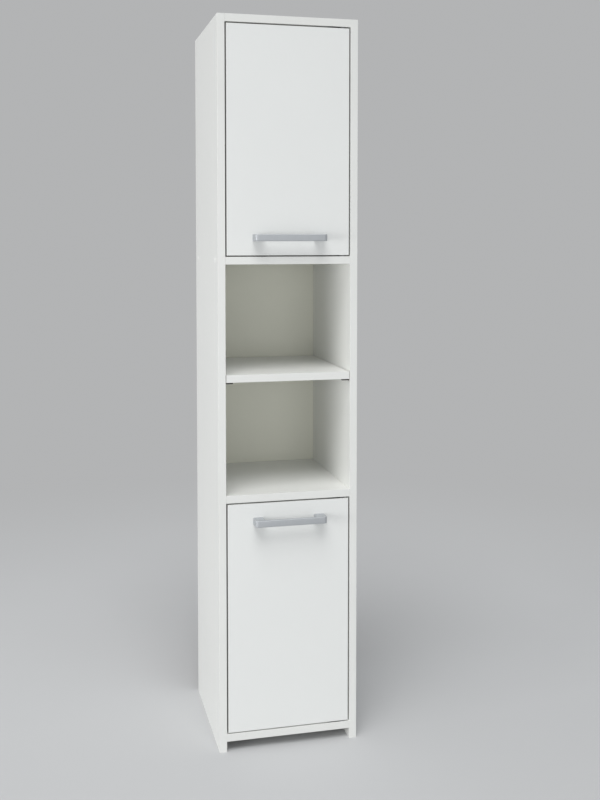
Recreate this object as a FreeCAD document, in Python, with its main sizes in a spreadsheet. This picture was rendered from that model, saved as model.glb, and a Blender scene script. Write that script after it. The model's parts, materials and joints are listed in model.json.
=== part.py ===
"""Tall narrow cabinet on its side panels, with two flush doors and two open niches between them.

Millimetres. X runs across the width, Y from the front to the back, Z up. The origin is on the
floor, at the middle of the whole box, handles and nail heads included.
"""
import FreeCAD, Part
import os
import Sketcher

from FreeCAD import Placement, Rotation, Vector

doc = FreeCAD.newDocument("tall_cabinet")

# Driving sizes -----------------------------------------------------------------------------

SIZES = {
    # carcass boards
    "cabinet_width": 300.0,
    "cabinet_height": 1543.0,
    "panel_depth": 317.0,
    "board": 16.0,
    "edge_round": 0.6,
    "back_thickness": 3.0,
    "back_inset": 2.0,
    "foot_height": 22.0,
    "lower_divider_level": 531.0,
    "middle_shelf_level": 784.5,
    "upper_divider_level": 1030.5,
    # loose shelves
    "upper_shelf_level": 1280.0,
    "lower_shelf_level": 280.0,
    "shelf_board": 16.0,
    "shelf_side_gap": 1.0,
    "shelf_back_gap": 2.0,
    "middle_shelf_setback": 1.0,
    "loose_shelf_setback": 26.0,
    # doors
    "door_board": 16.0,
    "door_side_gap": 3.0,
    "door_top_gap": 3.0,
    "door_bottom_gap": 2.5,
    # bar handles
    "handle_length": 154.0,
    "handle_screw_spacing": 128.0,
    "handle_bar_height": 14.0,
    "handle_bar_thickness": 8.0,
    "handle_reach": 30.0,
    "handle_leg_width": 22.0,
    "handle_outer_round": 7.0,
    "handle_inner_round": 5.0,
    "handle_edge_round": 1.5,
    "handle_edge_distance": 37.0,
    "handle_screw_radius": 2.0,
    "handle_screw_depth": 11.0,
    "handle_screw_grip": 9.0,
    "handle_screw_head_radius": 4.0,
    "handle_screw_head_height": 2.4,
    # door pivots
    "pivot_edge_distance": 12.0,
    "pivot_pin_radius": 2.5,
    "pivot_pin_reach": 10.0,
    "pivot_running_gap": 0.08,
    "pivot_bore_gap": 0.5,
    "pivot_plate_length": 40.0,
    "pivot_plate_width": 12.0,
    "pivot_plate_thickness": 2.0,
    "pivot_washer_radius": 5.5,
    "pivot_washer_gap": 0.3,
    "pivot_screw_spacing": 12.0,
    # small countersunk wood screws
    "small_screw_radius": 1.5,
    "small_screw_head_radius": 2.8,
    "small_screw_head_height": 2.0,
    "small_screw_length": 15.0,
    # magnetic catches
    "catch_width": 44.0,
    "catch_depth": 14.0,
    "catch_height": 14.0,
    "catch_side_gap": 4.0,
    "catch_ear": 8.0,
    "catch_ear_thickness": 3.0,
    "magnet_width": 20.0,
    "magnet_height": 6.0,
    "magnet_depth": 12.0,
    "magnet_drop": 9.5,
    "magnet_proud": 0.5,
    "magnet_gap": 0.2,
    "strike_width": 36.0,
    "strike_height": 12.0,
    "strike_thickness": 1.0,
    "strike_screw_length": 12.0,
    # carcass joints
    "joint_setback": 37.0,
    "dowel_setback": 69.0,
    "dowel_radius": 4.0,
    "dowel_in_side": 10.0,
    "dowel_in_board": 20.0,
    "cam_radius": 7.4,
    "cam_bore_radius": 7.5,
    "cam_height": 12.0,
    "cam_bore_depth": 12.5,
    "cam_distance": 34.0,
    "cam_slot": 7.2,
    "bolt_radius": 3.0,
    "bolt_head_radius": 3.4,
    "bolt_head_length": 5.0,
    "bolt_in_side": 11.0,
    "bolt_bore_radius": 4.0,
    "divider_screw_radius": 3.5,
    "divider_screw_length": 50.0,
    "divider_screw_head_radius": 5.0,
    "divider_screw_head_height": 3.0,
    "cap_radius": 6.0,
    "cap_height": 1.0,
    # back nails
    "nail_radius": 0.8,
    "nail_length": 20.0,
    "nail_head_radius": 2.2,
    "nail_head_height": 0.5,
    # shelf pins
    "pin_radius": 2.5,
    "pin_depth": 9.0,
    "pin_tab_length": 16.0,
    "pin_tab_width": 10.0,
    "pin_tab_thickness": 3.0,
    "pin_hole_pitch": 32.0,
    "middle_pin_setback": 10.0,
    # wall bracket
    "bracket_width": 40.0,
    "bracket_leg": 30.0,
    "bracket_thickness": 2.0,
    "bracket_hole_radius": 3.0,
    "bracket_hole_drop": 18.0,
    "bracket_screw_spacing": 24.0,
}

sheet = doc.addObject("Spreadsheet::Sheet", "sizes")
for row, (alias, value) in enumerate(SIZES.items(), start=1):
    sheet.set(f"A{row}", alias)
    sheet.set(f"B{row}", str(value))
    sheet.setAlias(f"B{row}", alias)
doc.recompute()

# Planes and levels that several pieces share, as formulas of the sizes ------------------------

LEFT = "(-sizes.cabinet_width / 2)"
RIGHT = "(sizes.cabinet_width / 2)"
INNER_LEFT = f"({LEFT} + sizes.board)"
INNER_RIGHT = f"({RIGHT} - sizes.board)"
FRONT = (
    "((sizes.handle_reach - sizes.panel_depth - sizes.back_thickness"
    " - sizes.nail_head_height) / 2)"
)
REAR = f"({FRONT} + sizes.panel_depth)"
BACK = f"({REAR} + sizes.back_thickness)"
TOP_LEVEL = "(sizes.cabinet_height - sizes.board)"
DOOR_BACK = f"({FRONT} + sizes.door_board)"
JOINT_ROWS = {
    "front": f"({FRONT} + sizes.joint_setback)",
    "rear": f"({REAR} - sizes.joint_setback)",
}
DOWEL_ROWS = {
    "front": f"({FRONT} + sizes.dowel_setback)",
    "rear": f"({REAR} - sizes.dowel_setback)",
}
SIDES = {"left": (INNER_LEFT, 1), "right": (INNER_RIGHT, -1)}
FIXED_BOARDS = {
    "top_panel": TOP_LEVEL,
    "upper_divider": "sizes.upper_divider_level",
    "lower_divider": "sizes.lower_divider_level",
    "bottom_panel": "sizes.foot_height",
}
CAM_BOARDS = ["top_panel", "lower_divider", "bottom_panel"]
SHELF_LEVELS = {
    "middle_shelf": "sizes.middle_shelf_level",
    "upper_shelf": "sizes.upper_shelf_level",
    "lower_shelf": "sizes.lower_shelf_level",
}
PIN_ROWS = {
    "middle_shelf": {**JOINT_ROWS, "front": f"({FRONT} + sizes.middle_pin_setback)"},
    "upper_shelf": JOINT_ROWS,
    "lower_shelf": JOINT_ROWS,
}
DOOR_BOARDS = {
    "upper": ("upper_divider", "top_panel"),
    "lower": ("bottom_panel", "lower_divider"),
}
PIN_ROW_STEPS = range(-2, 3)
SIDE_NAIL_STEPS = range(8)

ALONG_X = Rotation(Vector(0, 1, 0), 90)
ALONG_MINUS_X = Rotation(Vector(0, 1, 0), -90)
ALONG_Y = Rotation(Vector(1, 0, 0), -90)
ALONG_MINUS_Y = Rotation(Vector(1, 0, 0), 90)
UP = Rotation()
DOWN = Rotation(Vector(1, 0, 0), 180)
HALF_TURN = Rotation(Vector(0, 0, 1), 180)

nodes = []

# Small helpers ----------------------------------------------------------------------------


def bind(thing, **formulas):
    """Ties properties of a document object to formulas of the sizes."""
    for prop, formula in formulas.items():
        thing.setExpression(prop, formula)
    return thing


def place(thing, spot, turn=UP):
    """Puts an object's own origin at three formulas, turned by a fixed rotation."""
    thing.Placement = Placement(Vector(), turn)
    for axis, formula in zip("xyz", spot):
        thing.setExpression(f"Placement.Base.{axis}", formula)
    return thing


def block(name, size, spot):
    """A straight block from its lowest corner, with sizes along X, Y and Z."""
    box = doc.addObject("Part::Box", name)
    bind(box, Length=size[0], Width=size[1], Height=size[2])
    return place(box, spot)


def rod(name, radius, length, spot, turn=UP):
    """A cylinder that starts at a spot and runs along a turned Z axis."""
    bar = doc.addObject("Part::Cylinder", name)
    bind(bar, Radius=radius, Height=length)
    return place(bar, spot, turn)


def taper(name, start_radius, end_radius, length, spot, turn=UP):
    """A cone from one radius to another along a turned Z axis."""
    cone = doc.addObject("Part::Cone", name)
    bind(cone, Radius1=start_radius, Radius2=end_radius, Height=length)
    return place(cone, spot, turn)


def cut(name, base, tools):
    """A base with tools taken away."""
    tool = tools[0]
    if len(tools) > 1:
        tool = doc.addObject("Part::MultiFuse", f"{name}_tools")
        tool.Shapes = tools
    result = doc.addObject("Part::Cut", f"{name}_solid")
    result.Base = base
    result.Tool = tool
    return result


def fuse(name, shapes):
    """Several shapes made one solid."""
    result = doc.addObject("Part::MultiFuse", f"{name}_solid")
    result.Shapes = shapes
    return result


def group(name, solids):
    """Identical pieces kept together as one node of separate solids."""
    result = doc.addObject("Part::Compound", f"{name}_group")
    result.Links = solids
    return result


def keep(node, thing):
    """Marks a finished object as a sub-part; its Label names its file."""
    thing.Label = node
    nodes.append(thing)
    return thing


def step(formula, amount, direction):
    """A formula moved by an amount, forwards for 1 and backwards for -1."""
    sign = "+" if direction > 0 else "-"
    return f"({formula} {sign} {amount})"


def board_middle(level):
    """Half-way up a carcass board whose underside is at a level."""
    return f"({level} + sizes.board / 2)"


# Boards with edge strips, whose seen edges are rounded a little ----------------------------------


def round_edges(body, base, name, picked, radius):
    """A fillet on the edges of a body's last feature that a rule picks by their box."""
    edges = [f"Edge{number}" for number, edge in enumerate(base.Shape.Edges, start=1)
             if picked(edge.BoundBox)]
    fillet = body.newObject("PartDesign::Fillet", name)
    fillet.Base = (base, edges)
    fillet.setExpression("Radius", radius)
    doc.recompute()
    return fillet


def along_the_front(box):
    """Picks a cross board's two long front edges."""
    return box.YMax < 1e-6 and box.XLength > 1e-6


def above_the_floor(box):
    """Picks every edge but those that stand on the floor."""
    return box.ZMax > 1e-6


def round_both_faces(box):
    """Picks the edges of a door's front and back face."""
    return box.YLength < 1e-6


def edged_board(name, size, spot, picked):
    """A board from its lowest corner, with the picked edges rounded."""
    body = doc.addObject("PartDesign::Body", f"{name}_board")
    plank = body.newObject("PartDesign::AdditiveBox", f"{name}_plank")
    bind(plank, Length=size[0], Width=size[1], Height=size[2])
    doc.recompute()
    round_edges(body, plank, f"{name}_edging", picked, "sizes.edge_round")
    return place(body, spot)


# Holes that the joints and shelves need -------------------------------------------------------


def side_panel_holes(side, inner_face, into):
    """Bores in one side panel: dowels, cam bolts, divider screws and shelf pins."""
    outward = ALONG_MINUS_X if into > 0 else ALONG_X
    holes = []
    for board, level in FIXED_BOARDS.items():
        height = board_middle(level)
        for row in JOINT_ROWS:
            holes.append(
                rod(f"{side}_{board}_{row}_dowel_hole", "sizes.dowel_radius",
                    "sizes.dowel_in_side", (inner_face, DOWEL_ROWS[row], height), outward)
            )
            spot = (inner_face, JOINT_ROWS[row], height)
            if board in CAM_BOARDS:
                holes.append(
                    rod(f"{side}_{board}_{row}_bolt_hole", "sizes.bolt_radius",
                        "sizes.bolt_in_side", spot, outward)
                )
            else:
                holes.append(
                    rod(f"{side}_{board}_{row}_screw_hole", "sizes.divider_screw_radius",
                        "sizes.board", spot, outward)
                )
                head_spot = (step(inner_face, "sizes.board", -into), spot[1], spot[2])
                inward = ALONG_X if into > 0 else ALONG_MINUS_X
                holes.append(
                    taper(f"{side}_{board}_{row}_head_hole", "sizes.divider_screw_head_radius",
                          "sizes.divider_screw_radius", "sizes.divider_screw_head_height",
                          head_spot, inward)
                )
    for shelf, level in SHELF_LEVELS.items():
        steps = [0] if shelf == "middle_shelf" else PIN_ROW_STEPS
        for row, depth in PIN_ROWS[shelf].items():
            for number, count in enumerate(steps):
                height = f"({level} - sizes.pin_radius + {count} * sizes.pin_hole_pitch)"
                holes.append(
                    rod(f"{side}_{shelf}_{row}_pin_hole_{number}", "sizes.pin_radius",
                        "sizes.pin_depth", (inner_face, depth, height), outward)
                )
    return holes


def fixed_board_holes(board, level):
    """Bores in a fixed cross board: dowels and either cams with bolts or divider screws."""
    height = board_middle(level)
    holes = []
    for side, (inner_face, into) in SIDES.items():
        inward = ALONG_X if into > 0 else ALONG_MINUS_X
        for row in JOINT_ROWS:
            holes.append(
                rod(f"{board}_{side}_{row}_dowel_bore", "sizes.dowel_radius",
                    "sizes.dowel_in_board", (inner_face, DOWEL_ROWS[row], height), inward)
            )
            spot = (inner_face, JOINT_ROWS[row], height)
            if board in CAM_BOARDS:
                holes.append(
                    rod(f"{board}_{side}_{row}_bolt_bore", "sizes.bolt_bore_radius",
                        "sizes.cam_distance", spot, inward)
                )
                cam_spot = (step(inner_face, "sizes.cam_distance", into), spot[1], level)
                holes.append(
                    rod(f"{board}_{side}_{row}_cam_bore", "sizes.cam_bore_radius",
                        "sizes.cam_bore_depth", cam_spot)
                )
            else:
                holes.append(
                    rod(f"{board}_{side}_{row}_screw_bore", "sizes.divider_screw_radius",
                        "sizes.divider_screw_length - sizes.board", spot, inward)
                )
    return holes


# Pivots: plates, pins and washers at the top and bottom edge of each door -----------------------

PIVOT_X = f"({INNER_RIGHT} - sizes.door_side_gap - sizes.pivot_edge_distance)"
PIVOT_Y = f"({FRONT} + sizes.door_board / 2)"


def door_ends(door):
    """For each end of a door: its edge, the board face it meets, the gap and the way to it."""
    lower_board, upper_board = DOOR_BOARDS[door]
    bottom = f"({FIXED_BOARDS[lower_board]} + sizes.board)"
    top = FIXED_BOARDS[upper_board]
    return {
        "bottom": (f"({bottom} + sizes.door_bottom_gap)", bottom, "sizes.door_bottom_gap", -1),
        "top": (f"({top} - sizes.door_top_gap)", top, "sizes.door_top_gap", 1),
    }


def plate_blank(name, face, inward):
    """A round-ended plate let into a face, with its thickness running into the wood."""
    low = face if inward > 0 else f"({face} - sizes.pivot_plate_thickness)"
    half = "sizes.pivot_plate_width / 2"
    run = "sizes.pivot_plate_length - sizes.pivot_plate_width"
    bar = block(f"{name}_bar", (run, "sizes.pivot_plate_width", "sizes.pivot_plate_thickness"),
                (f"{PIVOT_X} - ({run})", f"{PIVOT_Y} - {half}", low))
    near = rod(f"{name}_near_end", half, "sizes.pivot_plate_thickness", (PIVOT_X, PIVOT_Y, low))
    far = rod(f"{name}_far_end", half, "sizes.pivot_plate_thickness",
              (f"{PIVOT_X} - ({run})", PIVOT_Y, low))
    return fuse(name, [bar, near, far])


def plate_screw_spots():
    """Across positions of a pivot plate's two screws."""
    last = "(sizes.pivot_plate_length - sizes.pivot_plate_width)"
    return [f"({PIVOT_X} - {last})", f"({PIVOT_X} - {last} + sizes.pivot_screw_spacing)"]


def countersunk_screw(name, spot, turn, length="sizes.small_screw_length"):
    """A small wood screw whose flat head is flush at its spot."""
    head = taper(f"{name}_head", "sizes.small_screw_head_radius", "sizes.small_screw_radius",
                 "sizes.small_screw_head_height", spot, turn)
    shank = rod(f"{name}_shank", "sizes.small_screw_radius", length, spot, turn)
    return fuse(name, [head, shank])


def countersink(name, thickness, spot, turn):
    """The tools for a small screw's hole: a cone for its head and a bore through the metal."""
    cone = taper(f"{name}_cone", "sizes.small_screw_head_radius", "sizes.small_screw_radius",
                 "sizes.small_screw_head_height", spot, turn)
    bore = rod(f"{name}_bore", "sizes.small_screw_radius", thickness, spot, turn)
    return [cone, bore]


def pivot_plate(name, face, inward, hole_radius):
    """A pivot plate with its pin hole and two countersunk screw holes."""
    turn = UP if inward > 0 else DOWN
    blank = plate_blank(f"{name}_blank", face, inward)
    tools = [rod(f"{name}_pin_hole", hole_radius, "sizes.pivot_plate_thickness",
                 (PIVOT_X, PIVOT_Y, face), turn)]
    for number, across in enumerate(plate_screw_spots()):
        tools += countersink(f"{name}_sink_{number}", "sizes.pivot_plate_thickness",
                             (across, PIVOT_Y, face), turn)
    return cut(name, blank, tools)


def make_pivots(door):
    """The pivot pieces of one door, top and bottom."""
    carcass_plates = []
    door_plates = []
    pins = []
    washers = []
    carcass_screws = []
    door_screws = []
    running_hole = "sizes.pivot_pin_radius + sizes.pivot_running_gap"
    for end, (edge, board_face, gap, toward_board) in door_ends(door).items():
        name = f"{door}_{end}_pivot"
        into_board = UP if toward_board > 0 else DOWN
        into_door = DOWN if toward_board > 0 else UP
        carcass_plates.append(
            pivot_plate(f"{name}_carcass_plate", board_face, toward_board,
                        "sizes.pivot_pin_radius")
        )
        door_plates.append(
            pivot_plate(f"{name}_door_plate", edge, -toward_board, running_hole)
        )
        pin_start = step(board_face, "sizes.pivot_plate_thickness", toward_board)
        pins.append(
            rod(f"{name}_pin", "sizes.pivot_pin_radius",
                f"sizes.pivot_plate_thickness + {gap} + sizes.pivot_pin_reach",
                (PIVOT_X, PIVOT_Y, pin_start), into_door)
        )
        washer_spot = (PIVOT_X, PIVOT_Y, board_face)
        washer = rod(f"{name}_washer_disc", "sizes.pivot_washer_radius",
                     f"{gap} - sizes.pivot_washer_gap", washer_spot, into_door)
        hole = rod(f"{name}_washer_hole", running_hole, gap, washer_spot, into_door)
        washers.append(cut(f"{name}_washer", washer, [hole]))
        for number, across in enumerate(plate_screw_spots()):
            carcass_screws.append(
                countersunk_screw(f"{name}_carcass_screw_{number}",
                                  (across, PIVOT_Y, board_face), into_board)
            )
            door_screws.append(
                countersunk_screw(f"{name}_door_screw_{number}", (across, PIVOT_Y, edge),
                                  into_door)
            )
    keep(f"{door}_pivot_carcass_plates", group(f"{door}_carcass_plates", carcass_plates))
    keep(f"{door}_pivot_door_plates", group(f"{door}_door_plates", door_plates))
    keep(f"{door}_pivot_pins", group(f"{door}_pins", pins))
    keep(f"{door}_pivot_washers", group(f"{door}_washers", washers))
    keep(f"{door}_pivot_carcass_screws", group(f"{door}_carcass_screws", carcass_screws))
    keep(f"{door}_pivot_door_screws", group(f"{door}_door_screws", door_screws))


def pivot_recesses(board):
    """Shallow recesses in a carcass board for the pivot plates of the doors it meets."""
    recesses = []
    for door, door_boards in DOOR_BOARDS.items():
        ends = zip(door_boards, door_ends(door).items())
        for end_board, (end, (edge, board_face, gap, toward_board)) in ends:
            if end_board == board:
                recesses.append(
                    plate_blank(f"{board}_{door}_{end}_recess", board_face, toward_board)
                )
    return recesses


# Carcass ----------------------------------------------------------------------------------


def make_side_panels():
    """Two full-height boards that stand on the floor."""
    for side, (inner_face, into) in SIDES.items():
        name = f"{side}_side_panel"
        outer = LEFT if side == "left" else INNER_RIGHT
        blank = edged_board(name, ("sizes.board", "sizes.panel_depth", "sizes.cabinet_height"),
                            (outer, FRONT, "0"), above_the_floor)
        keep(name, cut(name, blank, side_panel_holes(side, inner_face, into)))


def make_fixed_boards():
    """Top, two dividers and bottom, between the side panels."""
    width = "sizes.cabinet_width - 2 * sizes.board"
    for board, level in FIXED_BOARDS.items():
        blank = edged_board(board, (width, "sizes.panel_depth", "sizes.board"),
                            (INNER_LEFT, FRONT, level), along_the_front)
        holes = fixed_board_holes(board, level) + pivot_recesses(board)
        keep(board, cut(board, blank, holes))


def make_shelf(shelf, setback):
    """A loose shelf on pins, with a gap at each side and at the back."""
    width = "sizes.cabinet_width - 2 * sizes.board - 2 * sizes.shelf_side_gap"
    depth = f"sizes.panel_depth - {setback} - sizes.shelf_back_gap"
    spot = (f"{INNER_LEFT} + sizes.shelf_side_gap", f"{FRONT} + {setback}", SHELF_LEVELS[shelf])
    keep(shelf, edged_board(shelf, (width, depth, "sizes.shelf_board"), spot, along_the_front))


def make_shelf_pins(shelf):
    """Four steel pins with a flat tab that carry one shelf."""
    level = SHELF_LEVELS[shelf]
    pins = []
    for side, (inner_face, into) in SIDES.items():
        outward = ALONG_MINUS_X if into > 0 else ALONG_X
        tab_start = inner_face if into > 0 else f"({inner_face} - sizes.pin_tab_length)"
        for row, depth in PIN_ROWS[shelf].items():
            name = f"{shelf}_{side}_{row}_pin"
            peg = rod(f"{name}_peg", "sizes.pin_radius", "sizes.pin_depth",
                      (inner_face, depth, f"{level} - sizes.pin_radius"), outward)
            tab = block(f"{name}_tab",
                        ("sizes.pin_tab_length", "sizes.pin_tab_width",
                         "sizes.pin_tab_thickness"),
                        (tab_start, f"{depth} - sizes.pin_tab_width / 2",
                         f"{level} - sizes.pin_tab_thickness"))
            pins.append(fuse(name, [peg, tab]))
    keep(f"{shelf}_pins", group(f"{shelf}_pin", pins))


def make_back_panel():
    """A thin sheet nailed on behind, a little smaller than the carcass all round."""
    sheet_blank = block("back_sheet",
                        ("sizes.cabinet_width - 2 * sizes.back_inset", "sizes.back_thickness",
                         "sizes.cabinet_height - sizes.foot_height - 2 * sizes.back_inset"),
                        (f"{LEFT} + sizes.back_inset", REAR,
                         "sizes.foot_height + sizes.back_inset"))
    wall_hole = rod("back_wall_hole", "sizes.bracket_hole_radius", "sizes.back_thickness",
                    ("0", REAR, BRACKET_HOLE_LEVEL), ALONG_Y)
    keep("back_panel", cut("back_panel", sheet_blank, [wall_hole]))


def make_back_nails():
    """Nails down both side panels and one into the middle of each fixed board."""
    spots = []
    lowest = "(sizes.foot_height + sizes.board / 2)"
    span = f"({TOP_LEVEL} + sizes.board / 2 - {lowest})"
    for across in (f"({LEFT} + sizes.board / 2)", f"({RIGHT} - sizes.board / 2)"):
        for count in SIDE_NAIL_STEPS:
            spots.append((across, f"{lowest} + {span} * {count} / {SIDE_NAIL_STEPS[-1]}"))
    for level in FIXED_BOARDS.values():
        spots.append(("0", board_middle(level)))
    nails = []
    for number, (across, height) in enumerate(spots):
        name = f"back_nail_{number}"
        shank = rod(f"{name}_shank", "sizes.nail_radius", "sizes.nail_length",
                    (across, BACK, height), ALONG_MINUS_Y)
        head = rod(f"{name}_head", "sizes.nail_head_radius", "sizes.nail_head_height",
                   (across, BACK, height), ALONG_Y)
        nails.append(fuse(name, [shank, head]))
    keep("back_nails", group("back_nail", nails))


def make_joint_fittings():
    """Dowels, cams with their bolts, and the upper divider's screws with their cover caps."""
    dowels = []
    cams = []
    bolts = []
    screws = []
    caps = []
    for board, level in FIXED_BOARDS.items():
        height = board_middle(level)
        for side, (inner_face, into) in SIDES.items():
            inward = ALONG_X if into > 0 else ALONG_MINUS_X
            outward = ALONG_MINUS_X if into > 0 else ALONG_X
            for row in JOINT_ROWS:
                name = f"{board}_{side}_{row}"
                depth = JOINT_ROWS[row]
                dowels.append(
                    rod(f"{name}_dowel", "sizes.dowel_radius",
                        "sizes.dowel_in_side + sizes.dowel_in_board",
                        (step(inner_face, "sizes.dowel_in_side", -into), DOWEL_ROWS[row],
                         height), inward)
                )
                if board in CAM_BOARDS:
                    cams.append(make_cam(name, inner_face, into, depth, level))
                    bolts.append(make_bolt(name, inner_face, into, depth, height))
                    continue
                outer = step(inner_face, "sizes.board", -into)
                spot = (outer, depth, height)
                shank = rod(f"{name}_screw_shank", "sizes.divider_screw_radius",
                            "sizes.divider_screw_length", spot, inward)
                head = taper(f"{name}_screw_head", "sizes.divider_screw_head_radius",
                             "sizes.divider_screw_radius", "sizes.divider_screw_head_height",
                             spot, inward)
                screws.append(fuse(f"{name}_screw", [shank, head]))
                caps.append(rod(f"{name}_cap", "sizes.cap_radius", "sizes.cap_height",
                                spot, outward))
    keep("dowels", group("dowel", dowels))
    keep("cam_discs", group("cam_disc", cams))
    keep("cam_bolts", group("cam_bolt", bolts))
    keep("divider_screws", group("divider_screw", screws))
    keep("screw_caps", group("screw_cap", caps))


def make_cam(name, inner_face, into, depth, level):
    """A cam disc with a slot, open towards the side panel, for the bolt's head."""
    centre = step(inner_face, "sizes.cam_distance", into)
    disc = rod(f"{name}_cam_disc", "sizes.cam_radius", "sizes.cam_height",
               (centre, depth, level))
    slot_length = "sizes.cam_radius + sizes.bolt_head_length / 2"
    slot_start = (f"{centre} - sizes.cam_radius" if into > 0
                  else f"{centre} - sizes.bolt_head_length / 2")
    slot = block(f"{name}_cam_slot", (slot_length, "sizes.cam_slot", "sizes.cam_slot"),
                 (slot_start, f"{depth} - sizes.cam_slot / 2",
                  f"{board_middle(level)} - sizes.cam_slot / 2"))
    return cut(f"{name}_cam", disc, [slot])


def make_bolt(name, inner_face, into, depth, height):
    """A bolt screwed into the side panel, with a head that sits in the cam."""
    inward = ALONG_X if into > 0 else ALONG_MINUS_X
    shank = rod(f"{name}_bolt_shank", "sizes.bolt_radius",
                "sizes.bolt_in_side + sizes.cam_distance",
                (step(inner_face, "sizes.bolt_in_side", -into), depth, height), inward)
    head_start = step(inner_face, "(sizes.cam_distance - sizes.bolt_head_length / 2)", into)
    head = rod(f"{name}_bolt_head", "sizes.bolt_head_radius", "sizes.bolt_head_length",
               (head_start, depth, height), inward)
    return fuse(f"{name}_bolt", [shank, head])


# Doors ------------------------------------------------------------------------------------


def handle_level(door):
    """Middle height of a door's handle: near the niches, at the same distance for both."""
    ends = door_ends(door)
    if door == "upper":
        return f"({ends['bottom'][0]} + sizes.handle_edge_distance)"
    return f"({ends['top'][0]} - sizes.handle_edge_distance)"


def handle_screw_spots():
    """Across positions of a handle's two screws."""
    return ["(-sizes.handle_screw_spacing / 2)", "(sizes.handle_screw_spacing / 2)"]


def make_door(door):
    """A flush door with bores for its pivots and its handle."""
    name = f"{door}_door"
    bottom = door_ends(door)["bottom"][0]
    top = door_ends(door)["top"][0]
    blank = edged_board(name,
                        ("sizes.cabinet_width - 2 * sizes.board - 2 * sizes.door_side_gap",
                         "sizes.door_board", f"{top} - {bottom}"),
                        (f"{INNER_LEFT} + sizes.door_side_gap", FRONT, bottom), round_both_faces)
    tools = []
    for end, (edge, board_face, gap, toward_board) in door_ends(door).items():
        into_door = DOWN if toward_board > 0 else UP
        tools.append(plate_blank(f"{name}_{end}_recess", edge, -toward_board))
        tools.append(
            rod(f"{name}_{end}_pin_bore", "sizes.pivot_pin_radius + sizes.pivot_bore_gap",
                "sizes.pivot_pin_reach + sizes.pivot_bore_gap",
                (PIVOT_X, PIVOT_Y, edge), into_door)
        )
    for number, across in enumerate(handle_screw_spots()):
        tools.append(
            rod(f"{name}_handle_hole_{number}", "sizes.handle_screw_radius",
                "sizes.door_board", (across, FRONT, handle_level(door)), ALONG_Y)
        )
    keep(name, cut(name, blank, tools))


def at_depth(depth):
    """Picks the edges that run along Z at a depth."""
    return lambda box: box.XLength + box.YLength < 1e-6 and abs(box.YMax - depth) < 1e-6


def off_the_door(box):
    """Picks the edges round a handle's two flat ends, apart from those against the door."""
    return box.ZLength < 1e-6 and box.YMax > 1e-6


def origin_plane(body, role):
    """One of a body's own origin planes."""
    for feature in body.Origin.OriginFeatures:
        if feature.Role == role:
            return feature
    raise RuntimeError(f"{body.Name} has no {role}")


def new_sketch(body, name, role):
    """An empty sketch on one of a body's origin planes."""
    sketch = body.newObject("Sketcher::SketchObject", name)
    sketch.AttachmentSupport = (origin_plane(body, role), [""])
    sketch.MapMode = "FlatFace"
    return sketch


def dimension(sketch, name, formula, kind, *points):
    """A named driving dimension, tied to a formula of the sizes."""
    index = sketch.addConstraint(Sketcher.Constraint(kind, *points))
    sketch.renameConstraint(index, name)
    sketch.setExpression(f"Constraints.{name}", formula)


def draw_bow(sketch):
    """The handle seen from above: a bar with a leg at each end, in level and upright lines."""
    half = SIZES["handle_length"] / 2
    reach = SIZES["handle_reach"]
    inside = half - SIZES["handle_leg_width"]
    under_bar = reach - SIZES["handle_bar_thickness"]
    corners = [
        (-half, 0), (-half, reach), (half, reach), (half, 0),
        (inside, 0), (inside, under_bar), (-inside, under_bar), (-inside, 0),
    ]
    left_end, bar_front, right_foot, under, left_foot = 0, 1, 3, 5, 7
    x_axis, y_axis = -1, -2
    ends = corners[1:] + corners[:1]
    for number, (start, end) in enumerate(zip(corners, ends)):
        sketch.addGeometry(Part.LineSegment(Vector(*start, 0), Vector(*end, 0)))
        if start[0] == end[0]:
            sketch.addConstraint(Sketcher.Constraint("Vertical", number))
        elif number != bar_front:
            sketch.addConstraint(Sketcher.Constraint("Horizontal", number))
    for number in range(len(corners)):
        following = (number + 1) % len(corners)
        sketch.addConstraint(Sketcher.Constraint("Coincident", number, 2, following, 1))
    sketch.addConstraint(Sketcher.Constraint("Symmetric", bar_front, 1, bar_front, 2, y_axis))
    sketch.addConstraint(Sketcher.Constraint("PointOnObject", left_end, 1, x_axis))
    sketch.addConstraint(Sketcher.Constraint("PointOnObject", right_foot, 2, x_axis))
    dimension(sketch, "length", "sizes.handle_length",
              "DistanceX", bar_front, 1, bar_front, 2, 2 * half)
    dimension(sketch, "reach", "sizes.handle_reach",
              "DistanceY", left_end, 1, left_end, 2, reach)
    dimension(sketch, "right_leg", "sizes.handle_leg_width",
              "DistanceX", right_foot, 2, right_foot, 1, half - inside)
    dimension(sketch, "left_leg", "sizes.handle_leg_width",
              "DistanceX", left_foot, 2, left_foot, 1, half - inside)
    dimension(sketch, "bar_thickness", "sizes.handle_bar_thickness",
              "DistanceY", under, 1, bar_front, 2, reach - under_bar)


def draw_screw_centres(sketch):
    """Two equal circles, one in each leg of the handle."""
    half = SIZES["handle_screw_spacing"] / 2
    for across in (-half, half):
        circle = Part.Circle(Vector(across, 0, 0), Vector(0, 0, 1), SIZES["handle_screw_radius"])
        sketch.addGeometry(circle)
    left, right, centre = 0, 1, 3
    x_axis, y_axis = -1, -2
    sketch.addConstraint(Sketcher.Constraint("Equal", left, right))
    sketch.addConstraint(Sketcher.Constraint("Symmetric", left, centre, right, centre, y_axis))
    sketch.addConstraint(Sketcher.Constraint("PointOnObject", left, centre, x_axis))
    dimension(sketch, "spacing", "sizes.handle_screw_spacing",
              "DistanceX", left, centre, right, centre, 2 * half)
    dimension(sketch, "radius", "sizes.handle_screw_radius",
              "Radius", left, SIZES["handle_screw_radius"])


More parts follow.
